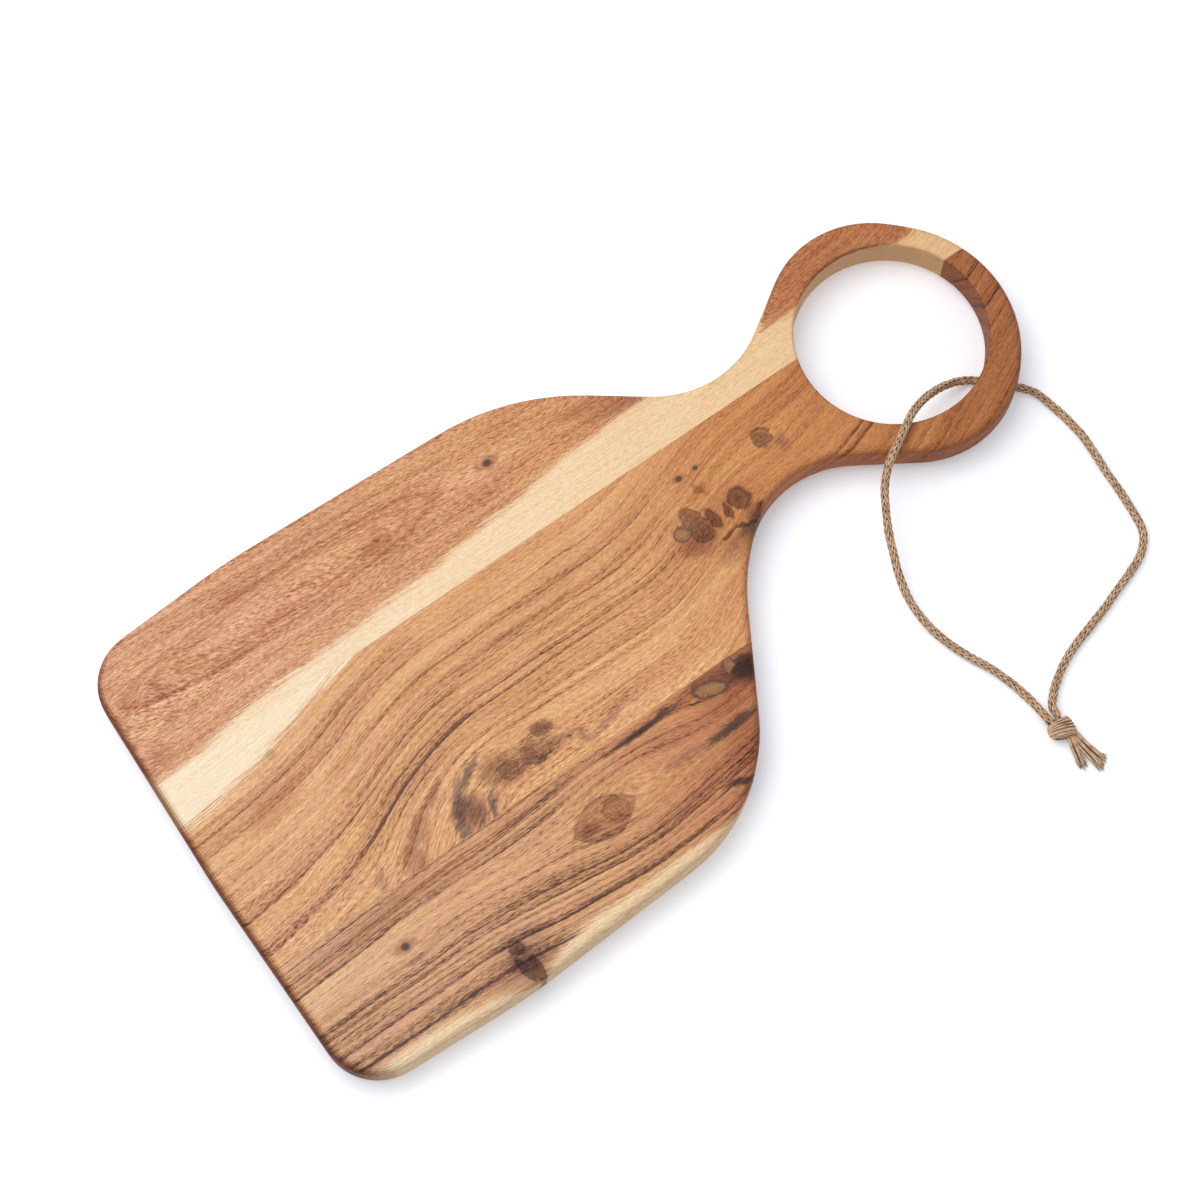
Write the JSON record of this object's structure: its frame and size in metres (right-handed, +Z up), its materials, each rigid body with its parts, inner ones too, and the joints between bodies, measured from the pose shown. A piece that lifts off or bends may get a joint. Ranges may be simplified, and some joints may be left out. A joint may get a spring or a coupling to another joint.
{
  "type": "paddle serving board",
  "caption": "Edge-glued wooden paddle board with an offset ring handle and softened edges, for serving, with a knotted jute hanging cord looped through the ring.",
  "frame": {"origin": "middle of the bottom of the board's box, on the table, measured without the cord", "axes": "+X along the board from the butt end to the ring, +Y towards the left stave, +Z up from the table"},
  "size_m": [0.4572, 0.3029, 0.0273],
  "materials": {
    "left_wood": "oiled satin",
    "centre_wood": "oiled satin",
    "right_wood": "oiled satin",
    "jute": "matte knitted jute"
  },
  "bodies": {
    "root": {"stave_left": "left_wood", "stave_centre": "centre_wood", "stave_right": "right_wood", "cord_loop": "jute", "cord_knot": "jute", "cord_tails": "jute"}
  },
  "joints": []
}
